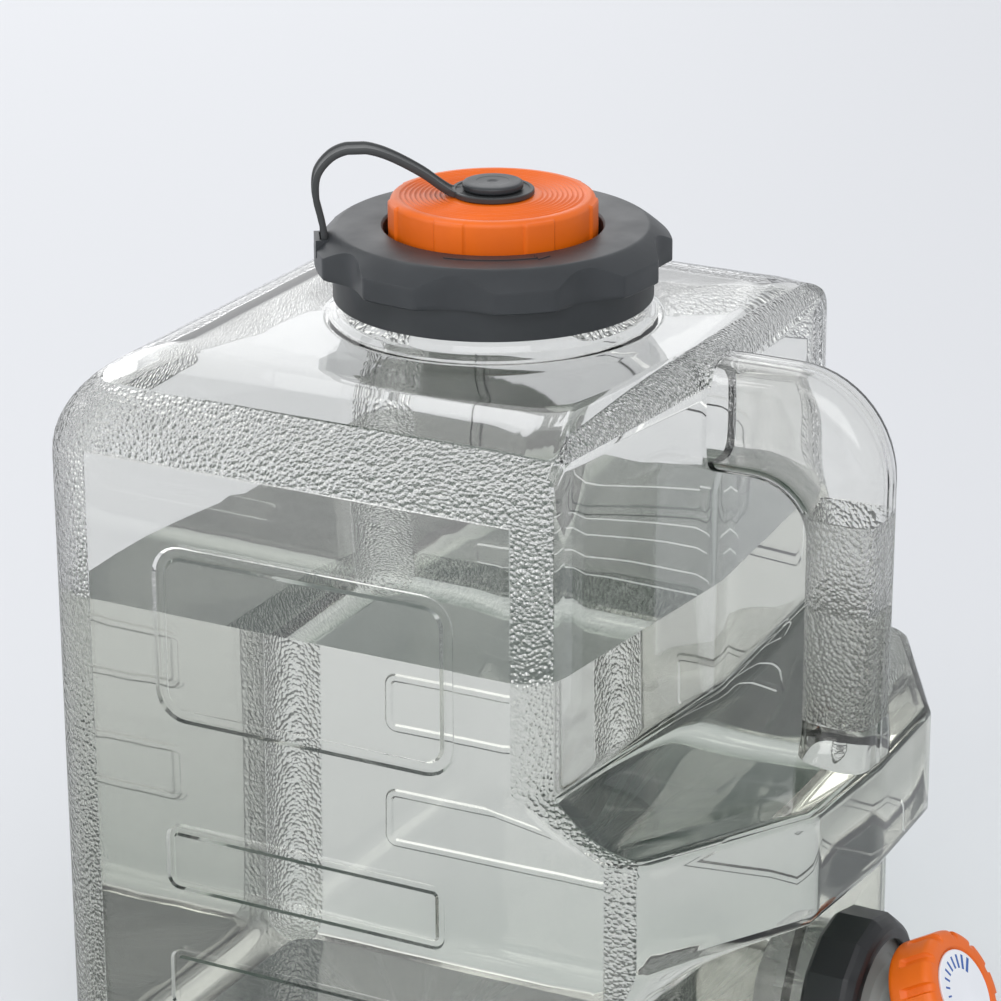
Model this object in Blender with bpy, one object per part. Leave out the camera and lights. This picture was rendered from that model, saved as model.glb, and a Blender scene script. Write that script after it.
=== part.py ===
"""Large clear water jug with a hollow handle, a screw lid with a tethered pouring cap, and a turn tap.

Metres, +Z up. The origin is on the resting face, under the neck's axis. The handle and the tap face -Y.
"""

import math

import bpy
import numpy as np
from mathutils import Matrix, Vector

MM = 0.001
GAP = 0.0003                    # clearance between pieces that rest on each other

# Shell. Each front outline is how far it stands in front of the neck's axis at three places:
# in the middle, at the belly's vertex and at the side corner.
HALF_WIDTH = 120 * MM
BACK = 120 * MM
VERTEX_X = 53.4 * MM            # where the belly's front and slanting walls meet
UPPER_WALL = np.array([93.5, 89.1, 83.5]) * MM
LOWER_WALL = np.array([121.5, 118.6, 115.0]) * MM
BELLY_WALL = np.array([157.5, 154.6, 117.0]) * MM
CORNER_R = 13 * MM
WALL = 2.6 * MM
HEIGHT = 290 * MM               # resting face to the flat top
TOP_FILLET = 36 * MM            # sides and back
FRONT_FILLET = 12 * MM
FOOT_FILLET = 12 * MM
SHELF_BACK = 160 * MM           # where the shelf leaves the upper front wall
SHELF_EDGE = 144.5 * MM         # where it turns down into the belly
BELLY_FOOT = 101.5 * MM
UNDERCUT = 86 * MM              # where the belly's underside meets the lower front wall

# Neck and lid, on the Z axis
NECK_R = 53.4 * MM
NECK_BORE = 51 * MM
NECK_TOP = 318 * MM
NECK_FLARE = 69 * MM
LID_TOP = 324.4 * MM
LID_PITCH = 6 * MM
LID_R = 65 * MM
LID_FACE_R = 56.5 * MM
SKIRT_R = 58.4 * MM
SKIRT_FOOT = 298.1 * MM
WELL_R = 39.8 * MM
LOBES = 8
SPOUT_R = 31.4 * MM
SPOUT_BORE = 28.6 * MM

# Pouring cap
CAP_R = 37.2 * MM
CAP_TOP = LID_TOP + 11 * MM
CAP_PITCH = 4 * MM
PADS = 7
BUTTON_R = 11 * MM
EYELET_R = 15 * MM
STRAP_WIDTH = 9.6 * MM
STRAP_THICK = 2.4 * MM
STRAP_SEAT_R = 61.4 * MM        # the slot in the lid's lug that holds the strap's end
LUG_WIDTH = 13 * MM
LUG_R = 64.4 * MM
STRAP_AZIMUTH = math.radians(123.6)

# Tap, along -Y
TAP_Z = 47.4 * MM
TAP_PITCH = 3 * MM
TAP_NECK_R = 26.6 * MM
TAP_NECK_BORE = 21.6 * MM
TAP_NECK_END = 152 * MM
NUT_R = 33 * MM
NUT_BACK = 140.5 * MM
NUT_FRONT = 161 * MM
FLANGE_BACK = 154.6 * MM

# Valve, on an axis that leans 30 degrees up from -Y
KNOB_BACK = Vector((0, -177.4, 51.1)) * MM
VALVE_TILT = math.radians(60)
KNOB_R = 24 * MM
KNOB_DEPTH = 18 * MM
KNOB_PITCH = 5 * MM
KNOB_NOTCHES = 12
VALVE_FLOOR = -17 * MM          # the seat, on the valve's axis from the knob's back face
BONNET_BORE = 5.7 * MM
STEM_R = 4.2 * MM
SPOUT_REACH = 170.8 * MM
SPOUT_FOOT = 9 * MM


def clear_scene():
    for item in list(bpy.data.objects):
        bpy.data.objects.remove(item, do_unlink=True)


def material(name, colour, roughness, metallic=0.0, transmission=0.0):
    made = bpy.data.materials.new(name)
    made.use_nodes = True
    shader = made.node_tree.nodes["Principled BSDF"]
    shader.inputs["Base Color"].default_value = (*colour, 1)
    shader.inputs["Roughness"].default_value = roughness
    shader.inputs["Metallic"].default_value = metallic
    shader.inputs["Transmission Weight"].default_value = transmission
    return made


def solid(name, vertices, faces, finish=None):
    """A mesh object with smooth shading that keeps edges over 35 degrees sharp."""
    mesh = bpy.data.meshes.new(name)
    mesh.from_pydata([tuple(v) for v in vertices], [], faces)
    mesh.validate()
    mesh.shade_smooth()
    mesh.set_sharp_from_angle(angle=math.radians(35))
    if finish:
        mesh.materials.append(finish)
    item = bpy.data.objects.new(name, mesh)
    bpy.context.scene.collection.objects.link(item)
    return item


def lofted(name, rings, finish=None, looped=False):
    """Rings of equal length joined by quads, closed by flat ends, or into a loop.

    Each ring runs anticlockwise seen from the last ring's side.
    """
    count = len(rings[0])
    vertices = [p for ring in rings for p in ring]
    last = len(rings) if looped else len(rings) - 1
    faces = []
    for i in range(last):
        here, there = i * count, ((i + 1) % len(rings)) * count
        for j in range(count):
            k = (j + 1) % count
            faces.append((here + j, here + k, there + k, there + j))
    if not looped:
        faces.append(tuple(reversed(range(count))))
        faces.append(tuple(range((len(rings) - 1) * count, len(rings) * count)))
    return solid(name, vertices, faces, finish)


def circle(radius, z, count, shape=None):
    """Points round the Z axis. shape scales the radius by angle."""
    angles = np.arange(count) * 2 * math.pi / count
    radii = radius * (shape(angles) if shape else np.ones(count))
    return np.stack([radii * np.cos(angles), radii * np.sin(angles), np.full(count, z)], 1)


def turned(name, profile, count, finish=None, looped=True):
    """A profile of (radius, z) points turned round Z.

    A loop gives a ring, with the profile running up its outer side.
    Otherwise the ends are closed by flat discs, from the lowest point to the highest.
    """
    return lofted(name, [circle(r, z, count) for r, z in profile], finish, looped)


def thread(name, root, crest, pitch, turns, start, foot, tip, steps, inner=False):
    """A helical ridge round Z with a trapezoid section that fades out at both ends.

    root and crest are radii. foot and tip are the ridge's heights there.
    """
    total = int(steps * turns)
    rings = []
    for i in range(total + 1):
        angle = 2 * math.pi * i / steps
        z = start + pitch * i / steps
        fade = min(1.0, i / 4, (total - i) / 4)
        peak = root + (crest - root) * max(fade, 0.12)
        section = [(root, -foot / 2), (peak, -tip / 2), (peak, tip / 2), (root, foot / 2)]
        if inner:
            section.reverse()
        rings.append([(r * math.cos(angle), r * math.sin(angle), z + h) for r, h in section])
    rings.reverse()
    return lofted(name, rings)


def as_tool(item):
    item.hide_render = True
    item.display_type = "WIRE"
    return item


def combine(target, tool, operation):
    step = target.modifiers.new(tool.name, "BOOLEAN")
    step.operation = operation
    step.solver = "EXACT"
    step.object = as_tool(tool)
    tool.parent = target
    tool.matrix_parent_inverse = target.matrix_basis.inverted()


def tilt(item, location, lean=0.0):
    """Places a piece made round +Z: lean 90 degrees turns that axis to -Y."""
    item.location = location
    item.rotation_euler = (lean, 0, 0)
    return item


# ---------------------------------------------------------------- shell

def rounded(before, corner, after, radius, steps):
    """Points on the arc that rounds one corner of an anticlockwise outline."""
    into, out = corner - before, after - corner
    into, out = into / np.linalg.norm(into), out / np.linalg.norm(out)
    turn = math.acos(into @ out)
    inwards = np.array([-into[1], into[0]])
    centre = corner - into * radius * math.tan(turn / 2) + inwards * radius
    return [centre + radius * (into * math.sin(t) - inwards * math.cos(t)) for t in np.linspace(0, turn, steps)]


def between(start, end, parts):
    return [start + (end - start) * k / parts for k in range(1, parts)]


def outline(front, front_in, side_in):
    """The shell's outline from above, anticlockwise from the front's middle.

    front_in moves the front walls inwards, and side_in the side and back walls.
    """
    middle = np.array([0, front_in - front[0]])
    vertex = np.array([VERTEX_X - 0.4 * front_in, front_in - front[1]])
    near = np.array([HALF_WIDTH - side_in, front_in - front[2]])
    far = np.array([HALF_WIDTH - side_in, BACK - side_in])
    back = np.array([0, BACK - side_in])
    near_arc = rounded(vertex, near, far, CORNER_R, 5)
    far_arc = rounded(near, far, back, CORNER_R, 5)
    half = ([middle] + between(middle, vertex, 2) + [vertex] + between(vertex, near_arc[0], 3) + near_arc
            + between(near_arc[-1], far_arc[0], 7) + far_arc + between(far_arc[-1], back, 4) + [back])
    mirrored = [point * (-1, 1) for point in half[-2:0:-1]]
    return np.array(half + mirrored)


def front_share():
    """How far each point of the outline belongs to the front walls: 1 there, 0 on the side and back walls."""
    half = [1.0] * 6 + [0.75, 0.5, 0.25] + [0.0] * 16
    return np.array(half + half[-2:0:-1])


def level(front, front_in, side_in, z):
    """One ring of the shell at height z, which may differ from point to point."""
    flat = outline(front, front_in, side_in)
    return np.column_stack([flat, np.broadcast_to(z, len(flat))])


def shell_rings(inset):
    """Rings up the shell, from the foot to the flat top. inset moves every wall inwards."""
    rings = []
    for turn in (0, 30, 60, 90):
        a = math.radians(turn)
        drawn_in = inset + FOOT_FILLET * (1 - math.sin(a))
        rings.append(level(LOWER_WALL, drawn_in, drawn_in, inset + FOOT_FILLET * (1 - math.cos(a))))
    rings.append(level(LOWER_WALL, inset, inset, UNDERCUT - 5 * MM + inset))
    for part in (0.1, 0.9):
        front = LOWER_WALL + (BELLY_WALL - LOWER_WALL) * part
        rings.append(level(front, inset, inset, UNDERCUT + (BELLY_FOOT - UNDERCUT) * part + inset))
    rings.append(level(BELLY_WALL, inset, inset, BELLY_FOOT + 4 * MM + inset))
    rings.append(level(BELLY_WALL, inset, inset, SHELF_EDGE - 3 * MM - inset))
    for part in (0.04, 0.35, 0.7, 0.95):
        dish = 4 * MM * math.sin(math.pi * part)
        front = BELLY_WALL + (UPPER_WALL - BELLY_WALL) * part
        rings.append(level(front, inset, inset, SHELF_EDGE + (SHELF_BACK - SHELF_EDGE) * part - dish - inset))
    rings.append(level(UPPER_WALL, inset, inset, SHELF_BACK + 5 * MM - inset))
    fillet = TOP_FILLET + (FRONT_FILLET - TOP_FILLET) * front_share()
    for turn in (0, 30, 60, 90):
        a = math.radians(turn)
        front_in, side_in = (inset + r * (1 - math.cos(a)) for r in (FRONT_FILLET, TOP_FILLET))
        rings.append(level(UPPER_WALL, front_in, side_in, HEIGHT - inset - fillet * (1 - math.sin(a))))
    return rings


def neck_rings(last, profile):
    """Round rings whose points lie in the same directions as the last ring's."""
    angles = np.arctan2(last[:, 1], last[:, 0])
    return [np.column_stack([r * np.cos(angles), r * np.sin(angles), np.full(len(angles), z)]) for r, z in profile]


def shell_outside():
    rings = shell_rings(0)
    profile = [(NECK_FLARE, HEIGHT), (62 * MM, HEIGHT + 1 * MM), (57 * MM, HEIGHT + 4 * MM),
               (54.6 * MM, HEIGHT + 8 * MM), (NECK_R, HEIGHT + 11 * MM), (NECK_R, NECK_TOP)]
    return rings + neck_rings(rings[-1], profile)


def shell_inside():
    rings = shell_rings(WALL)
    profile = [(NECK_FLARE, HEIGHT - WALL), (58 * MM, HEIGHT - WALL + 2 * MM), (NECK_BORE, HEIGHT + 7 * MM),
               (NECK_BORE, NECK_TOP + 2 * MM)]
    return rings + neck_rings(rings[-1], profile)


def handle_rings(inset, start, end):
    """A rounded box section carried from the top of the shell, out, and down into the belly.

    Each station is where the outer and inner faces lie, in the YZ plane.
    """
    outer = [(start, 288.5)]
    inner = [(start, 246)]
    centre = (-120.0, 250.0)
    for turn in (0, 22.5, 45, 67.5, 90):
        a = math.radians(turn)
        outer.append((centre[0] - 37 * math.sin(a), centre[1] + 38.5 * math.cos(a)))
        inner.append((-107 - 22 * math.sin(a), 227 + 19.5 * math.cos(a)))
    outer.append((-156, end))
    inner.append((-129, end))
    rings = []
    for (oy, oz), (iy, iz) in zip(outer, inner):
        middle = Vector((0, (oy + iy) / 2, (oz + iz) / 2))
        across = Vector((0, oy - iy, oz - iz))
        deep = across.length / 2 - inset / MM
        across.normalize()
        wide = 13.5 - inset / MM
        ring = []
        for i in range(16):
            a = 2 * math.pi * (i + 0.5) / 16
            square = (abs(math.cos(a)) ** 4 + abs(math.sin(a)) ** 4) ** -0.25
            point = middle + Vector((1, 0, 0)) * wide * square * math.cos(a)
            ring.append((point + across * deep * square * math.sin(a)) * MM)
        rings.append(ring)
    return rings


def jug_body(finish):
    body = lofted("jug_body", shell_outside(), finish)
    combine(body, lofted("handle_outside", handle_rings(0, -80, 128)), "UNION")
    neck = turned("tap_neck", [(TAP_NECK_R, 0), (TAP_NECK_R, TAP_NECK_END - 110 * MM)], 48, looped=False)
    combine(body, tilt(neck, (0, -110 * MM, TAP_Z), math.radians(90)), "UNION")
    combine(body, thread("neck_thread", NECK_R - 0.5 * MM, 55 * MM, LID_PITCH, 1.5, 303 * MM,
                         2.4 * MM, 1.2 * MM, 20), "UNION")
    tap_thread = thread("tap_neck_thread", TAP_NECK_R - 0.5 * MM, 28 * MM, TAP_PITCH, 2.25, 0,
                        1.5 * MM, 0.7 * MM, 18)
    combine(body, tilt(tap_thread, (0, -143.5 * MM, TAP_Z), math.radians(90)), "UNION")
    combine(body, lofted("inside", shell_inside()), "DIFFERENCE")
    combine(body, lofted("handle_inside", handle_rings(WALL, -84, 131)), "DIFFERENCE")
    bore = turned("tap_neck_bore", [(TAP_NECK_BORE, 0), (TAP_NECK_BORE, 60 * MM)], 48, looped=False)
    combine(body, tilt(bore, (0, -100 * MM, TAP_Z), math.radians(90)), "DIFFERENCE")
    return body


# ---------------------------------------------------------------- lid and cap

def scoops(angles):
    """Eight lobes with shallow scoops between them, on the lid's rim."""
    phase = np.abs(((angles - math.radians(38.25) + math.pi / LOBES) % (2 * math.pi / LOBES)) - math.pi / LOBES)
    half_lobe = math.radians(10.5)
    depth = np.clip((phase - half_lobe) / (math.pi / LOBES - half_lobe), 0, 1)
    return 1 - 0.075 * np.sin(depth * math.pi / 2)


def lid(finish):
    """A ring with a well: rim, chamfer, top, well wall, well floor, spout, underside and skirt."""
    rim_foot, rim_head = LID_TOP - 14.5 * MM, LID_TOP - 6.5 * MM
    under = LID_TOP - 3 * MM
    bore = 55.9 * MM
    profile = [(SKIRT_R, SKIRT_FOOT), (SKIRT_R, rim_foot), (LID_R, rim_foot), (LID_R, rim_head),
               (LID_FACE_R, LID_TOP), (WELL_R, LID_TOP), (WELL_R, LID_TOP - 12 * MM),
               (SPOUT_R, LID_TOP - 12 * MM), (SPOUT_R, LID_TOP + 6 * MM), (SPOUT_BORE, LID_TOP + 6 * MM),
               (SPOUT_BORE, LID_TOP - 15 * MM), (WELL_R + 2.5 * MM, LID_TOP - 15 * MM),
               (WELL_R + 2.5 * MM, under), (bore, under), (bore, SKIRT_FOOT)]
    count = 64
    rings = [circle(r, z, count, scoops if r == LID_R else None) for r, z in profile]
    made = lofted("lid", rings, finish, looped=True)
    ridge = thread("lid_thread", bore + 0.6 * MM, 53.9 * MM, LID_PITCH, 1.5, 300.2 * MM, 2.4 * MM, 1.2 * MM,
                   28, inner=True)
    combine(made, ridge, "UNION")
    spout_ridge = thread("spout_thread", SPOUT_R - 0.5 * MM, 33 * MM, CAP_PITCH, 1.25, LID_TOP - 5 * MM,
                         1.9 * MM, 0.8 * MM, 18)
    combine(made, spout_ridge, "UNION")
    lug = strap_block("strap_lug", LUG_WIDTH, LID_FACE_R, LUG_R, LID_TOP - 9 * MM, LID_TOP - 2.6 * MM)
    combine(made, lug, "UNION")
    half_slot = STRAP_THICK / 2 + GAP
    slot = strap_block("strap_slot", STRAP_WIDTH + 2 * GAP, STRAP_SEAT_R - half_slot, STRAP_SEAT_R + half_slot,
                       LID_TOP - 5.5 * MM, LID_TOP + 4 * MM)
    combine(made, slot, "DIFFERENCE")
    return made


def strap_block(name, width, near, far, low, high):
    """A block on the strap's radius, between two distances from the neck's axis."""
    corners = [(near, -width / 2), (far, -width / 2), (far, width / 2), (near, width / 2)]
    turn = Matrix.Rotation(STRAP_AZIMUTH, 3, "Z")
    return lofted(name, [[turn @ Vector((r, t, z)) for r, t in corners] for z in (low, high)])


def lid_gasket(finish):
    low, high = NECK_TOP + GAP, LID_TOP - 3 * MM - GAP
    profile = [(54.8 * MM, low), (54.8 * MM, high), (NECK_BORE - 1 * MM, high), (NECK_BORE - 1 * MM, low)]
    return turned("lid_gasket", profile, 48, finish)


def pads(angles):
    """Seven raised grip pads round the cap's side."""
    pitch = 2 * math.pi / PADS
    phase = np.abs(((angles - math.radians(28.8) + pitch / 2) % pitch) - pitch / 2)
    return np.where(phase > math.radians(8.8), 1.0, 1.024)


def pour_cap(finish):
    """A cup with a socket for the button's shank in the middle of its top."""
    socket, socket_floor = 4.3 * MM, CAP_TOP - 7 * MM
    under = CAP_TOP - 2.6 * MM
    low = LID_TOP - 9.5 * MM
    bore = 34.2 * MM
    profile = [(bore, low), (CAP_R, low), (CAP_R, CAP_TOP - 1.6 * MM), (CAP_R - 1.8 * MM, CAP_TOP),
               (socket, CAP_TOP), (socket, socket_floor), (0.6 * MM, socket_floor),
               (0.6 * MM, socket_floor - 2 * MM), (socket + 2.2 * MM, socket_floor - 2 * MM),
               (socket + 2.2 * MM, under), (bore, under)]
    count = 56
    padded = (CAP_R,)
    made = lofted("pour_cap", [circle(r, z, count, pads if r in padded else None) for r, z in profile], finish,
                  looped=True)
    plug = turned("socket_floor", [(1.2 * MM, socket_floor - 2 * MM), (1.2 * MM, socket_floor)], 12, looped=False)
    combine(made, plug, "UNION")
    ridge = thread("cap_thread", bore + 0.5 * MM, 32 * MM, CAP_PITCH, 1.25, LID_TOP - 7 * MM, 1.9 * MM, 0.8 * MM,
                   18, inner=True)
    combine(made, ridge, "UNION")
    return made


def cap_gasket(finish):
    low, high = LID_TOP + 6 * MM + GAP, CAP_TOP - 2.6 * MM - GAP
    profile = [(33.2 * MM, low), (33.2 * MM, high), (SPOUT_BORE, high), (SPOUT_BORE, low)]
    return turned("cap_gasket", profile, 48, finish)


def tether_button(finish):
    """A mushroom with a dimpled head and a snap shank."""
    seat = CAP_TOP + 2 * GAP + 1.6 * MM
    profile = [(3.4 * MM, CAP_TOP - 6.4 * MM), (3.9 * MM, CAP_TOP - 5 * MM), (3.6 * MM, CAP_TOP - 4 * MM),
               (3.6 * MM, seat), (BUTTON_R, seat), (BUTTON_R, seat + 1.6 * MM),
               (BUTTON_R - 1.5 * MM, seat + 2.8 * MM), (5.5 * MM, seat + 2.8 * MM), (4.5 * MM, seat + 2.2 * MM)]
    return turned("tether_button", profile, 28, finish, looped=False)


def strap_route():
    """The strap's middle line in its own plane: distance from the neck's axis, and height over the lid."""
    return [(61.4, -5), (61.4, 0), (62.6, 6), (64.0, 13), (63.2, 21), (58.4, 27), (52.4, 29.6), (46, 29.6),
            (39.6, 27.8), (32.6, 24.4), (25, 19.8), (19.5, 15.6), (15.5, 12.9), (12, 12.15), (8, 12.1)]


def tether_strap(finish):
    """A flat strap from the slot in the lid's rim to an eyelet that lies on the cap."""
    route = np.array(strap_route()) * MM
    route[:, 1] += LID_TOP
    turn = Matrix.Rotation(STRAP_AZIMUTH, 3, "Z")
    rings = []
    for i, (r, z) in enumerate(route):
        before, after = route[max(i - 1, 0)], route[min(i + 1, len(route) - 1)]
        along = np.array(after) - np.array(before)
        along /= np.linalg.norm(along)
        normal = np.array([-along[1], along[0]])
        thick = (STRAP_THICK if i < len(route) - 3 else 1.5 * MM) / 2
        ring = []
        for side, rise in ((-1, -1), (1, -1), (1, 1), (-1, 1)):
            place = np.array([r, z]) + normal * thick * rise
            ring.append(turn @ Vector((place[0], side * STRAP_WIDTH / 2, place[1])))
        rings.append(ring)
    strap = lofted("tether_strap", rings, finish)
    low = CAP_TOP + GAP
    disc = turned("eyelet", [(EYELET_R, low), (EYELET_R, low + 1.6 * MM)], 40, looped=False)
    combine(strap, disc, "UNION")
    hole = turned("eyelet_hole", [(4.2 * MM, low - 2 * MM), (4.2 * MM, low + 4 * MM)], 24, looped=False)
    combine(strap, hole, "DIFFERENCE")
    return strap


# ---------------------------------------------------------------- tap

def facets(angles):
    """Fourteen flats round the nut."""
    pitch = 2 * math.pi / 14
    phase = ((angles + pitch / 2) % pitch) - pitch / 2
    return math.cos(pitch / 2) / np.cos(phase)


def tap_nut(finish):
    """A ring with an inward lip at the front that pulls the flange in."""
    deep = NUT_FRONT - NUT_BACK
    bore, lip = 28.9 * MM, 24.4 * MM
    lip_back = deep - 2.6 * MM
    profile = [(bore, 0), (NUT_R - 1.5 * MM, 0), (NUT_R, 2 * MM), (NUT_R, deep - 5 * MM),
               (NUT_R - 3.5 * MM, deep), (lip, deep), (lip, lip_back), (bore, lip_back)]
    count = 56
    rings = [circle(r, z, count, facets if r > bore else None) for r, z in profile]
    nut = lofted("tap_nut", rings, finish, looped=True)
    ridge = thread("nut_thread", bore + 0.5 * MM, 27.2 * MM, TAP_PITCH, 2.25, 1.5 * MM, 1.5 * MM, 0.7 * MM, 18,
                   inner=True)
    combine(nut, ridge, "UNION")
    return tilt(nut, (0, -NUT_BACK, TAP_Z), math.radians(90))


def tap_gasket(finish):
    deep = FLANGE_BACK - TAP_NECK_END - 2 * GAP
    profile = [(TAP_NECK_R, 0), (TAP_NECK_R, deep), (TAP_NECK_BORE + 0.5 * MM, deep), (TAP_NECK_BORE + 0.5 * MM, 0)]
    gasket = turned("tap_gasket", profile, 40, finish)
    return tilt(gasket, (0, -TAP_NECK_END - GAP, TAP_Z), math.radians(90))


def valve_point(along):
    """A point on the valve's axis, measured outwards from the knob's back face."""
    return KNOB_BACK + Vector((0, -math.sin(VALVE_TILT), math.cos(VALVE_TILT))) * along


def tap_body(finish):
    """Flange and spigot, a tube to the slanting valve chamber, and a spout that points down."""
    thick = 3.2 * MM
    body = turned("tap_body", [(20.8 * MM, -9 * MM), (20.8 * MM, -0.2 * MM), (26.4 * MM, 0), (26.4 * MM, thick),
                               (22 * MM, thick), (13 * MM, thick + 1 * MM), (13 * MM, 9 * MM)],
                  48, finish, looped=False)
    tilt(body, (0, -FLANGE_BACK, TAP_Z), math.radians(90))
    chamber = turned("valve_chamber", [(14 * MM, 0), (14 * MM, 21 * MM)], 40, looped=False)
    combine(body, on_valve(chamber, -27 * MM), "UNION")
    spout = turned("spout", [(8.2 * MM, 0), (9 * MM, 20 * MM), (9 * MM, 25.2 * MM)], 36, looped=False)
    combine(body, tilt(spout, (0, -SPOUT_REACH, SPOUT_FOOT)), "UNION")
    entry = turned("entry", [(17.5 * MM, 0), (17.5 * MM, 7 * MM), (5 * MM, 11 * MM)], 36, looped=False)
    combine(body, tilt(entry, (0, -FLANGE_BACK + 10 * MM, TAP_Z), math.radians(90)), "DIFFERENCE")
    seat = turned("valve_seat", [(4.5 * MM, 0), (4.5 * MM, 14 * MM)], 24, looped=False)
    combine(body, on_valve(seat, -29 * MM), "DIFFERENCE")
    cavity = turned("valve_cavity", [(9 * MM, 0), (9 * MM, 22 * MM)], 36, looped=False)
    combine(body, on_valve(cavity, VALVE_FLOOR), "DIFFERENCE")
    outlet = turned("outlet", [(5.7 * MM, 0), (5.7 * MM, 31.4 * MM)], 30, looped=False)
    combine(body, tilt(outlet, (0, -SPOUT_REACH, SPOUT_FOOT - 3 * MM)), "DIFFERENCE")
    return body


def on_valve(item, along):
    return tilt(item, valve_point(along), VALVE_TILT)


def tap_bonnet(finish):
    """A collar in the chamber's mouth with a threaded neck that the knob turns on."""
    profile = [(8.7 * MM, -9.2 * MM), (8.7 * MM, -5.6 * MM), (14 * MM, -5.6 * MM), (14 * MM, -2.6 * MM),
               (11.2 * MM, -2.6 * MM), (11.2 * MM, 10 * MM), (BONNET_BORE, 10 * MM), (BONNET_BORE, -9.2 * MM)]
    bonnet = turned("tap_bonnet", profile, 40, finish)
    ridge = thread("bonnet_thread", 10.7 * MM, 12.6 * MM, KNOB_PITCH, 1.0, 1.8 * MM, 1.8 * MM, 0.9 * MM, 18)
    combine(bonnet, ridge, "UNION")
    return on_valve(bonnet, 0)


def o_ring(name, middle, half, along, finish):
    profile = [(middle + half * math.cos(a), half * math.sin(a)) for a in np.arange(6) * math.pi / 3]
    return on_valve(turned(name, profile, 28, finish), along)


def tap_stem(finish):
    """A spindle with a foot that holds the seat washer, and a blind hole for the knob's screw."""
    profile = [(2.2 * MM, -16.4 * MM), (2.2 * MM, -14.8 * MM), (5.4 * MM, -14.8 * MM), (5.4 * MM, -13.6 * MM),
               (STEM_R, -13.2 * MM), (STEM_R, 13 * MM)]
    stem = turned("tap_stem", profile, 28, finish, looped=False)
    hole = turned("screw_hole", [(1.2 * MM, 4 * MM), (1.2 * MM, 14 * MM)], 12, looped=False)
    combine(stem, hole, "DIFFERENCE")
    return on_valve(stem, 0)


def seat_washer(finish):
    low, high = VALVE_FLOOR + GAP, -14.8 * MM - GAP
    profile = [(6 * MM, low), (6 * MM, high), (2.5 * MM, high), (2.5 * MM, low)]
    return on_valve(turned("seat_washer", profile, 28, finish), 0)


def notches(angles):
    """Grip notches round the knob."""
    pitch = 2 * math.pi / KNOB_NOTCHES
    phase = np.abs(((angles + pitch / 2) % pitch) - pitch / 2)
    return np.where(phase < math.radians(4), 0.955, 1.0)


def tap_knob(finish):
    """A cup with grip notches, a recess for the label and a threaded hub over the bonnet."""
    d = KNOB_DEPTH
    profile = [(13.9 * MM, 0), (KNOB_R - 1.5 * MM, 0), (KNOB_R, 2 * MM), (KNOB_R, d - 3.5 * MM),
               (KNOB_R - 2.6 * MM, d), (16.4 * MM, d), (16.4 * MM, d - 1.2 * MM), (2.1 * MM, d - 1.2 * MM),
               (2.1 * MM, 13.3 * MM), (STEM_R + GAP, 13.3 * MM), (STEM_R + GAP, 11.5 * MM), (13.9 * MM, 11.5 * MM)]
    count = 60
    knob = lofted("tap_knob", [circle(r, z, count, notches if r == KNOB_R else None) for r, z in profile],
                  finish, looped=True)
    ridge = thread("knob_thread", 14.4 * MM, 11.7 * MM, KNOB_PITCH, 1.0, 4.3 * MM, 1.8 * MM, 0.9 * MM, 18,
                   inner=True)
    combine(knob, ridge, "UNION")
    seat = turned("screw_head_seat", [(4.4 * MM, d - 3.4 * MM), (4.4 * MM, d)], 24, looped=False)
    combine(knob, seat, "DIFFERENCE")
    return on_valve(knob, 0)


def knob_screw(finish):
    """A pan-head screw, from the knob's face into the stem."""
    d = KNOB_DEPTH
    profile = [(0.9 * MM, 5 * MM), (0.9 * MM, d - 3.1 * MM), (3.9 * MM, d - 3.1 * MM), (3.9 * MM, d - 2.1 * MM),
               (3.2 * MM, d - 1.5 * MM)]
    return on_valve(turned("knob_screw", profile, 24, finish, looped=False), 0)


def knob_label(finish):
    d = KNOB_DEPTH
    profile = [(16.1 * MM, d - 1.2 * MM + GAP), (16.1 * MM, d - 0.2 * MM), (15.6 * MM, d)]
    return on_valve(turned("knob_label", profile, 40, finish, looped=False), 0)


def build():
    clear_scene()
    clear = material("clear_plastic", (0.8, 0.84, 0.82), 0.05, transmission=0.9)
    slate = material("slate_plastic", (0.07, 0.075, 0.08), 0.45)
    orange = material("orange_plastic", (0.85, 0.22, 0.03), 0.4)
    black = material("black_plastic", (0.012, 0.014, 0.016), 0.4)
    grey = material("grey_plastic", (0.3, 0.32, 0.31), 0.4)
    seal = material("silicone", (0.7, 0.7, 0.68), 0.6)
    rubber = material("rubber", (0.02, 0.02, 0.02), 0.7)
    steel = material("steel", (0.6, 0.6, 0.6), 0.3, metallic=1.0)
    white = material("white_print", (0.85, 0.85, 0.88), 0.4)

    jug_body(clear)
    lid(slate)
    lid_gasket(seal)
    pour_cap(orange)
    cap_gasket(seal)
    tether_button(slate)
    tether_strap(slate)
    tap_nut(black)
    tap_gasket(seal)
    tap_body(grey)
    tap_bonnet(grey)
    o_ring("bonnet_o_ring", 7.4 * MM, 1.1 * MM, -10.6 * MM, rubber)
    tap_stem(grey)
    o_ring("stem_o_ring_inner", 4.95 * MM, 0.55 * MM, -5 * MM, rubber)
    o_ring("stem_o_ring_outer", 4.95 * MM, 0.55 * MM, 5 * MM, rubber)
    seat_washer(rubber)
    tap_knob(orange)
    knob_screw(steel)
    knob_label(white)


build()
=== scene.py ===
"""The look of the large clear water jug: camera, studio, shell, water, lid, cap, strap, tap and materials.

Metres, +Z up, origin on the resting face under the neck. The handle and the tap face -Y.
"""

import math

import bpy
import numpy as np
from mathutils import Matrix, Vector


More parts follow.
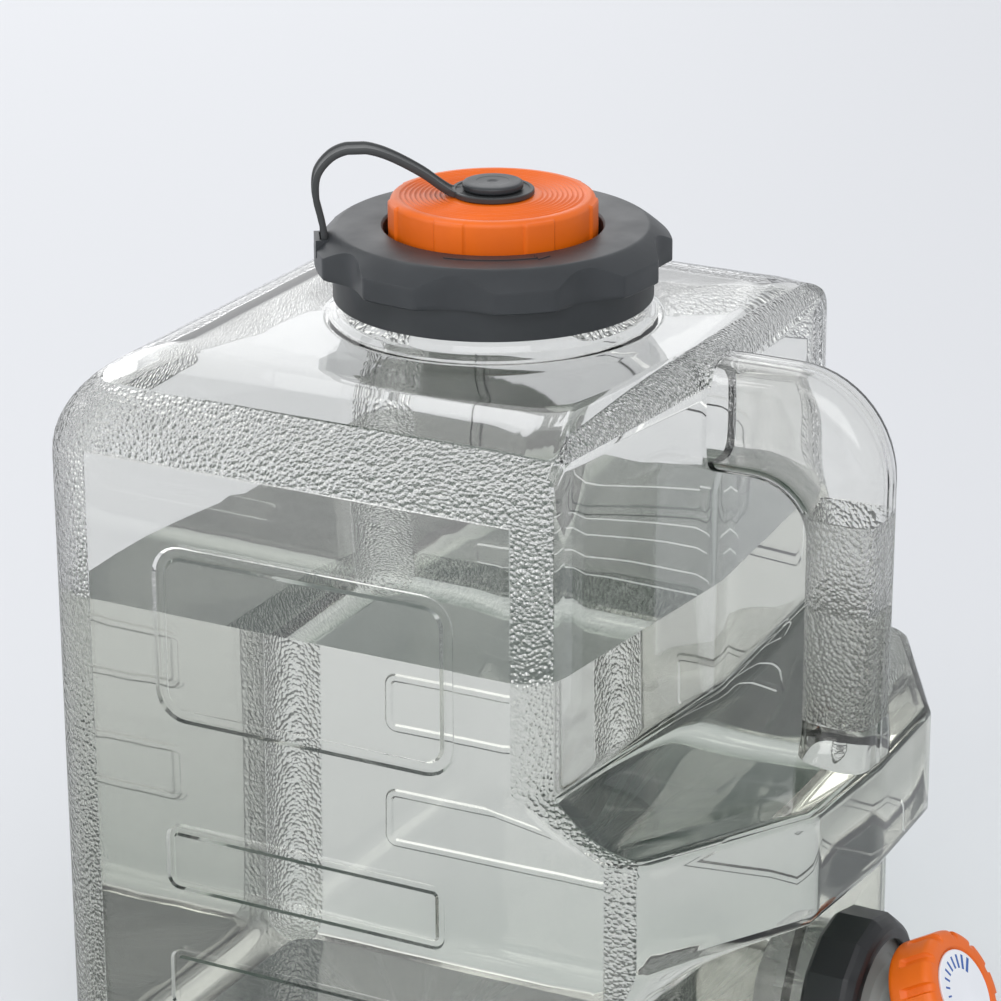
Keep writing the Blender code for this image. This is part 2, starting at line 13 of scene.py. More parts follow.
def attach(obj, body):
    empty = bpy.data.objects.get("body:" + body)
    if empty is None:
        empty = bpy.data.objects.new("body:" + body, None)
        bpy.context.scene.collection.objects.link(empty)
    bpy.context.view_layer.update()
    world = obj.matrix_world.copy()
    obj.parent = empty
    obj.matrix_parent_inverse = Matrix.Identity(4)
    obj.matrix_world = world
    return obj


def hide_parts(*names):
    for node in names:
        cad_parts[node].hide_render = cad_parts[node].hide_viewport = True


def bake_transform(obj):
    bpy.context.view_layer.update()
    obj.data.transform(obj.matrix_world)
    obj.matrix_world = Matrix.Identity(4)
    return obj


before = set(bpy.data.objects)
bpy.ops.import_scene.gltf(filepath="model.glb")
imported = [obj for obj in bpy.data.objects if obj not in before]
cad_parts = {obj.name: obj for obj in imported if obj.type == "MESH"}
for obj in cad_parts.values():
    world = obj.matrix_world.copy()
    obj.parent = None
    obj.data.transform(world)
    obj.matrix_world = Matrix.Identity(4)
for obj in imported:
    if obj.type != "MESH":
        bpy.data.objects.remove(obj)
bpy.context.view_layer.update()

MM = 0.001

# ---------------------------------------------------------------- sizes, as in the part's source

HALF_WIDTH = 120 * MM
BACK = 120 * MM
VERTEX_X = 53.4 * MM
UPPER_WALL = np.array([93.5, 89.1, 83.5]) * MM
LOWER_WALL = np.array([121.5, 118.6, 115.0]) * MM
BELLY_WALL = np.array([157.5, 154.6, 117.0]) * MM
CORNER_R = 13 * MM
WALL = 2.6 * MM
HEIGHT = 290 * MM
TOP_FILLET = 36 * MM
FRONT_FILLET = 12 * MM
FOOT_FILLET = 12 * MM
WATER_LEVEL = 202 * MM
LID_TOP = 324.4 * MM
CAP_TOP = LID_TOP + 11 * MM
STRAP_AZIMUTH = math.radians(123.6)
TAP_Z = 47.4 * MM
NUT_BACK = 140.5 * MM
NUT_FRONT = 161 * MM
FLANGE_BACK = 154.6 * MM
KNOB_BACK = Vector((0, -177.4, 51.1)) * MM
VALVE_TILT = math.radians(60)
SPOUT_REACH = 170.8 * MM
SPOUT_FOOT = 9 * MM
GROOVE_DEPTH = 1 * MM           # of the frames pressed into the side walls
STRAP_RISE = 29.6 * MM          # the strap's middle line, at most this high over the lid
SHELL_TINT = "#f7f7f5"


# ---------------------------------------------------------------- camera

def set_camera():
    """Looks down 20 degrees from the front left, through a long lens."""
    data = bpy.data.cameras.new("camera")
    data.lens = 144.84
    data.sensor_width = 36
    data.clip_end = 50
    camera = bpy.data.objects.new("camera", data)
    bpy.context.scene.collection.objects.link(camera)
    azimuth, elevation, roll = math.radians(-61.84), math.radians(20.33), math.radians(-0.3)
    turn = Matrix.Rotation(azimuth, 4, "Z") @ Matrix.Rotation(math.pi / 2 - elevation, 4, "X") @ \
        Matrix.Rotation(roll, 4, "Z")
    camera.matrix_world = Matrix.Translation((-1.2327, -0.6623, 0.7360)) @ turn
    bpy.context.scene.camera = camera


set_camera()


# ---------------------------------------------------------------- mesh helpers

def make_piece(name, vertices, faces, material, angle=30):
    """A mesh object at the origin. Faces is a list of index arrays or lists."""
    mesh = bpy.data.meshes.new(name)
    mesh.from_pydata(np.asarray(vertices, float).tolist(), [], [list(map(int, f)) for f in faces])
    mesh.validate()
    mesh.shade_smooth()
    if angle:
        mesh.set_sharp_from_angle(angle=math.radians(angle))
    for finish in material if isinstance(material, (list, tuple)) else [material]:
        mesh.materials.append(finish)
    item = bpy.data.objects.new(name, mesh)
    bpy.context.scene.collection.objects.link(item)
    return item


def grid_faces(rows, columns, wrap_rows=False, wrap_columns=True):
    """Quads between neighbours on a grid of rows by columns."""
    i = np.arange(rows if wrap_rows else rows - 1)[:, None]
    j = np.arange(columns if wrap_columns else columns - 1)[None, :]
    up, side = (i + 1) % rows, (j + 1) % columns
    quads = np.stack([i * columns + j, i * columns + side, up * columns + side, up * columns + j], -1)
    return quads.reshape(-1, 4)


def lofted(name, rings, material, looped=False, angle=30):
    """Rings of equal length joined by quads. Unless looped, a fan to the middle closes each end."""
    rings = np.asarray(rings, float)
    rows, columns = rings.shape[:2]
    vertices = rings.reshape(-1, 3)
    faces = grid_faces(rows, columns, wrap_rows=looped).tolist()
    if not looped:
        k = np.arange(columns)
        low, high = rows * columns, rows * columns + 1
        vertices = np.vstack([vertices, rings[0].mean(0), rings[-1].mean(0)])
        last = (rows - 1) * columns
        faces += np.stack([(k + 1) % columns, k, np.full(columns, low)], 1).tolist()
        faces += np.stack([last + k, last + (k + 1) % columns, np.full(columns, high)], 1).tolist()
    return make_piece(name, vertices, faces, material, angle)


def softened(points, radius, steps=4, closed=False):
    """A polyline whose corners are rounded by arcs, as far as its sides allow."""
    points = [np.asarray(p, float) for p in points]
    count = len(points)
    radii = [radius] * count if np.isscalar(radius) else list(radius)
    out = []
    for i, corner in enumerate(points):
        if not closed and i in (0, count - 1) or radii[i] == 0:
            out.append(corner)
            continue
        before, after = points[i - 1], points[(i + 1) % count]
        to_before, to_after = before - corner, after - corner
        lb, la = np.linalg.norm(to_before), np.linalg.norm(to_after)
        cosine = np.clip(to_before @ to_after / (lb * la), -1, 1)
        half = math.acos(cosine) / 2
        reach = min(radii[i] / math.tan(half) if half < 1.57 else 0, 0.45 * lb, 0.45 * la)
        start, end = corner + to_before / lb * reach, corner + to_after / la * reach
        for t in np.linspace(0, 1, steps + 1):
            out.append((1 - t) ** 2 * start + 2 * t * (1 - t) * corner + t * t * end)
    return np.array(out)


def turned(name, profile, count, material, looped=True, wave=None, angle=30):
    """A profile of (radius, z) points turned round Z.

    wave(angles, row radii, row heights) returns how much each point's radius is scaled.
    """
    profile = np.asarray(profile, float)
    angles = np.arange(count) * 2 * math.pi / count
    radii = np.repeat(profile[:, :1], count, 1)
    if wave:
        radii = radii * wave(angles[None, :], profile[:, :1], profile[:, 1:])
    heights = np.repeat(profile[:, 1:], count, 1)
    rings = np.stack([radii * np.cos(angles), radii * np.sin(angles), heights], -1)
    return lofted(name, rings, material, looped, angle)


def moved(item, location, lean=0.0):
    """Turns a piece made round +Z by lean about X, places it, and applies both to its mesh."""
    item.data.transform(Matrix.Translation(location) @ Matrix.Rotation(lean, 4, "X"))
    return item


def combined(target, tools, operation):
    """Applies one Boolean per tool to the target's mesh and removes the tools."""
    for tool in tools:
        step = target.modifiers.new("join", "BOOLEAN")
        step.operation, step.solver, step.object = operation, "MANIFOLD", tool
    ready = bpy.data.meshes.new_from_object(target.evaluated_get(bpy.context.evaluated_depsgraph_get()))
    target.modifiers.clear()
    old, target.data = target.data, ready
    ready.name = target.name
    bpy.data.meshes.remove(old)
    for tool in tools:
        bpy.data.objects.remove(tool, do_unlink=True)
    return target


def sharpen(item, angle=30):
    """Smooth shading that keeps edges over this many degrees crisp."""
    item.data.shade_smooth()
    item.data.set_sharp_from_angle(angle=math.radians(angle))
    return item


# ---------------------------------------------------------------- material helpers

def linear(hex_colour, alpha=1.0):
    """sRGB hex to linear RGBA."""
    parts = [int(hex_colour[i:i + 2], 16) / 255 for i in (1, 3, 5)]
    return tuple(c / 12.92 if c <= 0.04045 else ((c + 0.055) / 1.055) ** 2.4 for c in parts) + (alpha,)


def add(tree, kind, inputs=None, **settings):
    """Adds a node. inputs maps a socket's name or number to a value or to another node's output."""
    made = tree.nodes.new("ShaderNode" + kind)
    for key, value in settings.items():
        setattr(made, key, value)
    for key, value in (inputs or {}).items():
        if isinstance(value, bpy.types.NodeSocket):
            tree.links.new(value, made.inputs[key])
        else:
            made.inputs[key].default_value = value
    return made


def math_node(tree, operation, a, b=0.0, clamp=False):
    """The result of one operation on two numbers or sockets."""
    return add(tree, "Math", {0: a, 1: b}, operation=operation, use_clamp=clamp).outputs[0]


def ramp(tree, value, low, high, start=0.0, end=1.0):
    """Maps low..high to start..end, clamped."""
    return add(tree, "MapRange", {0: value, 1: low, 2: high, 3: start, 4: end}).outputs[0]


def new_material(name, **sockets):
    """A Principled material with constants on its own sockets; an underscore in a name stands for a space."""
    made = bpy.data.materials.new(name)
    made.use_nodes = True
    tree = made.node_tree
    shader = tree.nodes["Principled BSDF"]
    for key, value in sockets.items():
        shader.inputs[key.replace("_", " ")].default_value = value
    return made, tree, shader


def object_axes(tree):
    """The Object coordinates and their x, y and z, which stay put on a piece as it moves."""
    place = add(tree, "TexCoord").outputs["Object"]
    split = add(tree, "SeparateXYZ", {0: place})
    return place, split.outputs[0], split.outputs[1], split.outputs[2]


def shadow_through(tree, shader, tint):
    """Lets lamps shine through clear plastic and water with a slight tint, as real light does."""
    passing = add(tree, "BsdfTransparent", {0: linear(tint)})
    rays = add(tree, "LightPath")
    mix = add(tree, "MixShader", {0: rays.outputs["Is Shadow Ray"], 1: shader.outputs[0], 2: passing.outputs[0]})
    tree.links.new(mix.outputs[0], tree.nodes["Material Output"].inputs[0])


def pebble_mask(tree):
    """1 on the pebbled bands of the shell: its corners, the rim of its top and the handle's column."""
    place, x, y, z = object_axes(tree)
    side = math_node(tree, "ABSOLUTE", x)
    above = lambda value, edge: ramp(tree, value, edge - 0.25 * MM, edge + 0.25 * MM)
    below = lambda value, edge: ramp(tree, value, edge - 0.25 * MM, edge + 0.25 * MM, 1.0, 0.0)
    both = lambda *masks: masks[0] if len(masks) == 1 else math_node(tree, "MULTIPLY", masks[0], both(*masks[1:]))
    step = ramp(tree, z, 141 * MM, 161 * MM)
    corner = ramp(tree, z, 141 * MM, 161 * MM, -116.5 * MM, -83.5 * MM)
    depth = math_node(tree, "SUBTRACT", y, corner)
    band = ramp(tree, step, 0.0, 1.0, 10.5 * MM, 13.5 * MM)
    face = ramp(tree, step, 0.0, 1.0, 117.6 * MM, 113 * MM)
    near = both(above(math_node(tree, "SUBTRACT", band, depth), 0.0),
                above(math_node(tree, "SUBTRACT", side, face), 0.0), below(z, 287 * MM))
    far = both(above(side, 101 * MM), above(y, 100.7 * MM), below(z, 281 * MM))
    rim = both(above(z, 258.5 * MM), below(z, 280.75 * MM), above(y, -80.5 * MM))
    front = both(above(z, 280 * MM), below(y, -81.2 * MM), above(y, -93.8 * MM))
    column = both(above(z, 160 * MM), below(z, 237 * MM), below(y, -126.8 * MM))
    most = near
    for mask in (far, rim, front, column):
        most = math_node(tree, "MAXIMUM", most, mask)
    return place, most


def clear_plastic():
    """Blow-moulded polycarbonate: glass-like walls, with a coarse pebble of 2 mm grains on the bands."""
    made, tree, shader = new_material("clear_polycarbonate", Base_Color=linear(SHELL_TINT), IOR=1.5,
                                      Transmission_Weight=1.0)
    place, mask = pebble_mask(tree)
    grains = add(tree, "TexVoronoi", {"Vector": place, "Scale": 620.0}, feature="F1")
    height = math_node(tree, "MULTIPLY", grains.outputs["Distance"], mask)
    bump = add(tree, "Bump", {"Height": height, "Strength": 1.0, "Distance": 1.25 * MM})
    tree.links.new(bump.outputs[0], shader.inputs["Normal"])
    tree.links.new(ramp(tree, mask, 0.0, 1.0, 0.02, 0.2), shader.inputs["Roughness"])
    shadow_through(tree, shader, "#dfe6e3")
    return made


def clear_inside():
    """The shell's smooth inner face, with the faint waves of blown plastic."""
    made, tree, shader = new_material("clear_polycarbonate_inside", Base_Color=linear(SHELL_TINT), IOR=1.5,
                                      Transmission_Weight=1.0, Roughness=0.02)
    place = add(tree, "TexCoord").outputs["Object"]
    waves = add(tree, "TexNoise", {"Vector": place, "Scale": 20.0, "Detail": 1.0})
    flow = add(tree, "Bump", {"Height": waves.outputs[0], "Strength": 0.15, "Distance": 1.2 * MM})
    tree.links.new(flow.outputs[0], shader.inputs["Normal"])
    shadow_through(tree, shader, "#dfe6e3")
    return made


def water_material():
    """Still drinking water: clear, with a faint tint in its base colour."""
    made, tree, shader = new_material("water", Base_Color=linear("#f2f3ef"), IOR=1.333, Transmission_Weight=1.0,
                                      Roughness=0.0)
    shadow_through(tree, shader, "#e3ebe7")
    return made


def moulded(name, colour, worn, roughness, grain, depth):
    """Satin moulded plastic: an even colour with faint cloudy variation, and a fine grain in the skin.

    grain is the grain's size and depth its height.
    """
    made, tree, shader = new_material(name, IOR=1.49)
    place = add(tree, "TexCoord").outputs["Object"]
    clouds = add(tree, "TexNoise", {"Vector": place, "Scale": 60.0, "Detail": 3.0}).outputs[0]
    blend = add(tree, "Mix", {0: ramp(tree, clouds, 0.35, 0.7), 6: linear(colour), 7: linear(worn)},
                data_type="RGBA")
    tree.links.new(blend.outputs[2], shader.inputs["Base Color"])
    speck = add(tree, "TexNoise", {"Vector": place, "Scale": 1 / grain, "Detail": 3.0, "Roughness": 0.6})
    bump = add(tree, "Bump", {"Height": speck.outputs[0], "Strength": 0.5, "Distance": depth})
    tree.links.new(bump.outputs[0], shader.inputs["Normal"])
    tree.links.new(ramp(tree, clouds, 0.3, 0.7, roughness - 0.04, roughness + 0.05), shader.inputs["Roughness"])
    return made


def steel():
    """Stainless screw: bright, with fine turning marks."""
    made, tree, shader = new_material("stainless_steel", Base_Color=linear("#c9c9c6"), Metallic=1.0)
    place = add(tree, "TexCoord").outputs["Object"]
    marks = add(tree, "TexNoise", {"Vector": place, "Scale": 1500.0, "Detail": 2.0}).outputs[0]
    tree.links.new(ramp(tree, marks, 0.3, 0.7, 0.22, 0.38), shader.inputs["Roughness"])
    return made


clear = clear_plastic()
clear_back = clear_inside()
water_look = water_material()
# Polypropylene lid: dark slate, satin, with a spark-eroded grain
slate = moulded("slate_polypropylene", "#313437", "#2b2e31", 0.42, 0.35 * MM, 0.05 * MM)
orange = moulded("orange_polypropylene", "#ea6a02", "#e26402", 0.42, 0.4 * MM, 0.04 * MM)
strap_look = moulded("soft_strap_polyethylene", "#383a3b", "#323435", 0.46, 0.3 * MM, 0.04 * MM)
black = moulded("black_nylon", "#131518", "#101215", 0.4, 0.35 * MM, 0.05 * MM)
grey = moulded("grey_acetal", "#8d918e", "#858a87", 0.42, 0.4 * MM, 0.04 * MM)
silicone = moulded("silicone_seal", "#d4d5d1", "#cccdc8", 0.55, 0.3 * MM, 0.02 * MM)
rubber = moulded("nitrile_rubber", "#232323", "#1c1c1c", 0.6, 0.25 * MM, 0.03 * MM)
white = moulded("white_label_film", "#eef0f4", "#e8eaee", 0.3, 0.5 * MM, 0.01 * MM)
blue = moulded("blue_label_ink", "#2a5caa", "#2858a4", 0.3, 0.5 * MM, 0.01 * MM)
screw_look = steel()


# ---------------------------------------------------------------- shell and water

def rounded(before, corner, after, radius, steps):
    """Points on the arc that rounds one corner of an anticlockwise outline."""
    into, out = corner - before, after - corner
    into, out = into / np.linalg.norm(into), out / np.linalg.norm(out)
    turn = math.acos(into @ out)
    inwards = np.array([-into[1], into[0]])
    centre = corner - into * radius * math.tan(turn / 2) + inwards * radius
    t = np.linspace(0, turn, steps)[:, None]
    return centre + radius * (into * np.sin(t) - inwards * np.cos(t))


FINE = (8, 10, 11, 44, 11, 30)       # columns on: front, slant, corner, side, corner, half the back
PLAIN = (3, 4, 7, 12, 7, 8)


def outline(front, front_in, side_in, counts):
    """The shell from above: straight walls with arcs at the corners, anticlockwise from the front's middle."""
    middle = np.array([0, front_in - front[0]])
    vertex = np.array([VERTEX_X - 0.4 * front_in, front_in - front[1]])
    near = np.array([HALF_WIDTH - side_in, front_in - front[2]])
    far = np.array([HALF_WIDTH - side_in, BACK - side_in])
    back = np.array([0, BACK - side_in])
    near_arc = rounded(vertex, near, far, CORNER_R, counts[2])
    far_arc = rounded(near, far, back, CORNER_R, counts[4])
    run = lambda a, b, n: a + (b - a) * np.arange(1, n)[:, None] / n
    half = np.vstack([middle, run(middle, vertex, counts[0]), vertex, run(vertex, near_arc[0], counts[1]), near_arc,
                      run(near_arc[-1], far_arc[0], counts[3]), far_arc, run(far_arc[-1], back, counts[5]), back])
    return np.vstack([half, half[-2:0:-1] * (-1, 1)])


def front_share(counts):
    """1 on the front walls, 0 on the side and back walls, passing over on the corner's arc."""
    arc = np.linspace(1, 0, counts[2])
    half = np.concatenate([np.ones(counts[0] + counts[1]), arc, np.zeros(counts[3] + counts[4] + counts[5] - 1)])
    return np.concatenate([half, half[-2:0:-1]])


def stepped(front_low, front_high, z_low, z_high, step, dish=0.0):
    """Rows between two levels, as (front outline, height), spaced about step apart along the surface."""
    length = math.hypot(front_high[0] - front_low[0], z_high - z_low)
    count = max(2, round(length / step))
    part = np.arange(count) / count
    heights = z_low + (z_high - z_low) * part - dish * np.sin(math.pi * part)
    return [(front_low + (front_high - front_low) * p, z) for p, z in zip(part, heights)]


def shell_rows(inset, fine):
    """The shell's rows from the foot's fillet to the top one, as (front, height), with softened edges."""
    small, wide = (1.75 * MM, 3.2 * MM) if fine else (8 * MM, 8 * MM)
    under, shelf = 86 * MM + inset, 160 * MM - inset
    low, high = 101.5 * MM + inset, 144.5 * MM - inset
    rows = stepped(LOWER_WALL, LOWER_WALL, inset + FOOT_FILLET, 30 * MM, 2 * small)
    rows += stepped(LOWER_WALL, LOWER_WALL, 30 * MM, under, small)
    rows += stepped(LOWER_WALL, BELLY_WALL, under, low, wide)
    rows += stepped(BELLY_WALL, BELLY_WALL, low, high, small)
    rows += stepped(BELLY_WALL, UPPER_WALL, high, shelf, wide, 4 * MM)
    rows += stepped(UPPER_WALL, UPPER_WALL, shelf, 238 * MM, small)
    fronts = np.array([r[0] for r in rows])
    heights = np.array([r[1] for r in rows])
    for _ in range(2 if fine else 0):
        fronts[1:-1] = (fronts[:-2] + 2 * fronts[1:-1] + fronts[2:]) / 4
        heights[1:-1] = (heights[:-2] + 2 * heights[1:-1] + heights[2:]) / 4
    return list(zip(fronts, heights))


def shell_rings(inset, fine, top=None):
    """Rings from the foot up to the neck, or up to the height top."""
    counts = FINE if fine else PLAIN
    rings = []
    level = lambda front, front_in, side_in, z: rings.append(
        np.column_stack([flat := outline(front, front_in, side_in, counts), np.broadcast_to(z, len(flat))]))
    for turn in np.radians(np.linspace(0, 90, 7))[:-1]:
        drawn_in = inset + FOOT_FILLET * (1 - math.sin(turn))
        level(LOWER_WALL, drawn_in, drawn_in, inset + FOOT_FILLET * (1 - math.cos(turn)))
    for front, z in shell_rows(inset, fine):
        if top is None or z < top - 0.5 * MM:
            level(front, inset, inset, z)
    if top is not None:
        level(UPPER_WALL, inset, inset, top)
        return rings
    fillet = TOP_FILLET + (FRONT_FILLET - TOP_FILLET) * front_share(counts)
    start = np.array(rings[-1][:, 2])
    for part in (0.35, 0.7) if fine else ():
        level(UPPER_WALL, inset, inset, start + (HEIGHT - inset - fillet - start) * part)
    for turn in np.radians(np.linspace(0, 90, 15 if fine else 8)):
        front_in, side_in = (inset + r * (1 - math.cos(turn)) for r in (FRONT_FILLET, TOP_FILLET))
        level(UPPER_WALL, front_in, side_in, HEIGHT - inset - fillet * (1 - math.sin(turn)))
    if inset:
        neck = [(69, 287.4), (58, 289.4), (51, 297), (51, 320)]
    else:
        neck = [(69, 290), (62, 290.7), (57.4, 293.6), (54.6, 298), (53.4, 301), (53.4, 318)]
    angles = np.arctan2(rings[-1][:, 1], rings[-1][:, 0])
    for r, z in softened(np.array(neck) * MM, 3 * MM, 3):
        rings.append(np.column_stack([r * np.cos(angles), r * np.sin(angles), np.full(len(angles), z)]))
    return rings


def handle_rings(inset, start, end, stations=14, count=96):
    """The handle's section, a squared ellipse, carried from the shell's top, out, and down into the belly."""
    turn = np.linspace(0, math.pi / 2, stations)
    outer = np.column_stack([-120 - 37 * np.sin(turn), 250 + 38.5 * np.cos(turn)])
    inner = np.column_stack([-107 - 22 * np.sin(turn), 227 + 19.5 * np.cos(turn)])
    down = np.linspace(0, 1, 24)[1:, None]
    outer_leg = (-157, 250) + (np.array([-156, end]) - (-157, 250)) * down
    inner_leg = (-129, 227) + (np.array([-129, end]) - (-129, 227)) * down
    outer = np.vstack([(start, 288.5), (-100, 288.5), outer, outer_leg])
    inner = np.vstack([(start, 246), (-92, 246.3), inner, inner_leg])
    middle, across = (outer + inner) / 2, outer - inner
    length = np.linalg.norm(across, axis=1)
    across /= length[:, None]
    deep = length / 2 - inset / MM
    flare = 4.5 * np.clip((164 - middle[:, 1]) / 16, 0, 1) ** 2 * (middle[:, 0] < -120)
    wide = 13.5 - inset / MM + flare
    a = 2 * math.pi * (np.arange(count) + 0.5) / count
    square = (np.abs(np.cos(a)) ** 4 + np.abs(np.sin(a)) ** 4) ** -0.25
    seam = 0.0 if inset else 0.5 * np.exp(-(((a - math.pi / 2) / 0.05) ** 2))
    x = wide[:, None] * square * np.cos(a)
    out = deep[:, None] * square * np.sin(a) + seam
    y = middle[:, :1] + across[:, :1] * out
    z = middle[:, 1:] + across[:, 1:] * out
    return np.stack([x, y, z], -1) * MM


def thread(name, root, crest, pitch, turns, start, foot, tip, steps, material, inner=False):
    """A helical ridge round Z with a trapezoid section that fades out at both ends."""
    total = int(steps * turns)
    i = np.arange(total + 1)
    angle, middle = 2 * math.pi * i / steps, start + pitch * i / steps
    peak = root + (crest - root) * np.maximum(np.minimum(1, np.minimum(i, total - i) / 4), 0.12)
    r = np.stack([np.full(total + 1, root), peak, peak, np.full(total + 1, root)], 1)
    z = middle[:, None] + np.array([-foot, -tip, tip, foot]) / 2
    rings = np.stack([r * np.cos(angle)[:, None], r * np.sin(angle)[:, None], z], -1)
    return lofted(name, rings[::-1, ::-1] if inner else rings[::-1], material)


def second_finish(tool):
    """Marks all of a tool's faces with the second material."""
    tool.data.polygons.foreach_set("material_index", [1] * len(tool.data.polygons))
    return tool


def mark_bands(shell):
    """Leaves the pebbled material only on the outer faces in or beside a pebbled band."""
    mesh = shell.data
    count = len(mesh.polygons)
    centres, slots = np.empty(count * 3), np.empty(count, int)
    mesh.polygons.foreach_get("center", centres)
    mesh.polygons.foreach_get("material_index", slots)
    x, y, z = np.abs(centres.reshape(-1, 3).T[0]), *centres.reshape(-1, 3).T[1:]
    room = 4 * MM
    corner = np.interp(z, (141 * MM, 161 * MM), (-116.5 * MM, -83.5 * MM))
    near = (y - corner < 13.5 * MM + room) & (x > 113 * MM - room)
    far = (x > 101 * MM - room) & (y > 100.7 * MM - room)
    rim = (z > 258.5 * MM - room) & (z < 280.75 * MM + room)
    front = (z > 280 * MM - room) & (y < -81.2 * MM + room)
    column = (z > 160 * MM - room) & (z < 237 * MM + room) & (y < -126 * MM)
    slots[~(near | far | rim | front | column)] = 1
    mesh.polygons.foreach_set("material_index", slots)


def groove_tool(side, middle, half, radius, mouth, floor):
    """A cutter for one pressed groove: a trapezoid section carried round a rounded rectangle on a side wall.

    Each point is its corner's centre plus (line radius + offset) times (cos t, sin t). mouth and floor are
    half the groove's width at the wall's face and at its floor, and the section rises past the face by as
    much as it goes in, so its sides stay straight.
    """
    steps = 7                                   # points on each corner's arc
    turns = (np.arange(4)[:, None] + np.linspace(0, 1, steps)).ravel() * math.pi / 2
    y_sign, z_sign = np.repeat([1, -1, -1, 1], steps), np.repeat([1, 1, -1, -1], steps)
    outside = 2 * mouth - floor
    section = [(-outside, GROOVE_DEPTH), (outside, GROOVE_DEPTH), (floor, -GROOVE_DEPTH),
               (-floor, -GROOVE_DEPTH)]
    rings = []
    for offset, rise in section[::-side]:
        reach = radius - mouth + offset
        rings.append(np.column_stack([np.full(len(turns), side * (HALF_WIDTH + rise)),
                                      middle[0] + y_sign * (half[0] - radius) + reach * np.cos(turns),
                                      middle[1] + z_sign * (half[1] - radius) + reach * np.sin(turns)]))
    return second_finish(lofted("groove", rings, [clear, clear_back], looped=True))


def side_grooves():
    """One tall frame and two low bars on each side wall, which stiffen it."""
    tools = []
    for side in (1, -1):
        tools.append(groove_tool(side, (12.8 * MM, 195.2 * MM), (60.8 * MM, 33.8 * MM), 12 * MM, 2.7 * MM,
                                 1.7 * MM))
        for level in (107.5 * MM, 58 * MM):
            tools.append(groove_tool(side, (14 * MM, level), (57.5 * MM, 12.5 * MM), 5 * MM, 1.8 * MM, 1 * MM))
    return tools


def jug_shell():
    both = [clear, clear_back]
    shell = lofted("shell", shell_rings(0, True), both)
    handle = lofted("handle", handle_rings(0, -80, 128), both)
    tap_neck = turned("tap_neck", [(26.6 * MM, 0), (26.6 * MM, 42 * MM)], 96, both, looped=False)
    moved(tap_neck, (0, -110 * MM, TAP_Z), math.pi / 2)
    neck_thread = thread("neck_thread", 52.9 * MM, 55 * MM, 6 * MM, 1.5, 303 * MM, 2.4 * MM, 1.2 * MM, 96, both)
    tap_thread = thread("tap_thread", 26.1 * MM, 28 * MM, 3 * MM, 2.25, 0, 1.5 * MM, 0.7 * MM, 64, both)
    moved(tap_thread, (0, -143.5 * MM, TAP_Z), math.pi / 2)
    combined(shell, [handle, tap_neck, neck_thread, tap_thread], "UNION")
    inside = second_finish(lofted("inside", shell_rings(WALL, False), both))
    hollow = second_finish(lofted("hollow", handle_rings(WALL, -84, 131), both))
    bore = second_finish(turned("bore", [(21.6 * MM, 0), (21.6 * MM, 60 * MM)], 96, both, looped=False))
    moved(bore, (0, -100 * MM, TAP_Z), math.pi / 2)
    combined(shell, [inside, hollow, bore] + side_grooves(), "DIFFERENCE")
    mark_bands(shell)
    sharpen(shell, 38)
    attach(shell, "jug")
    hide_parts("jug_body")


def water():
    """The jug's contents, up to the water line, a hair into the walls so that no air shows between."""
    over = WALL - 0.2 * MM
    body = lofted("water", shell_rings(over, False, WATER_LEVEL), water_look)
    column = handle_rings(over, -84, 133)
    column = column[column[:, :, 2].max(1) < WATER_LEVEL - 1 * MM]
    top = column[0].copy()
    top[:, 2] = WATER_LEVEL
    column = np.concatenate([top[None], column])
    port = turned("port", [(21.7 * MM, 0), (21.7 * MM, 45 * MM)], 64, water_look, looped=False)
    moved(port, (0, -100 * MM, TAP_Z), math.pi / 2)
    combined(body, [lofted("column", column, water_look), port], "UNION")
    sharpen(body, 38)
    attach(body, "jug")


jug_shell()
water()


# ---------------------------------------------------------------- lid

def bevelled(item, width, segments=2, angle=35):
    """Rounds the sharp edges by width."""
    step = item.modifiers.new("edges", "BEVEL")
    step.width, step.segments, step.angle_limit = width, segments, math.radians(angle)
    step.limit_method, step.harden_normals = "ANGLE", False
    return item


def rim_radius(angles):
    """The lid's rim: eight flat lobes 20 degrees wide, with concave scoops between them."""
    pitch = math.pi / 4
    phase = np.abs((angles - math.radians(38.25) + pitch / 2) % pitch - pitch / 2)
    half_lobe = math.radians(10)
    part = np.clip((phase - half_lobe) / (pitch / 2 - half_lobe), 0, 1)
    flat = 65 * MM * math.cos(half_lobe * 0.6) / np.cos(np.minimum(phase, half_lobe) * 0.6)
    return np.where(part > 0, 65 * MM - 5.4 * MM * np.sin(part * math.pi / 2), flat)


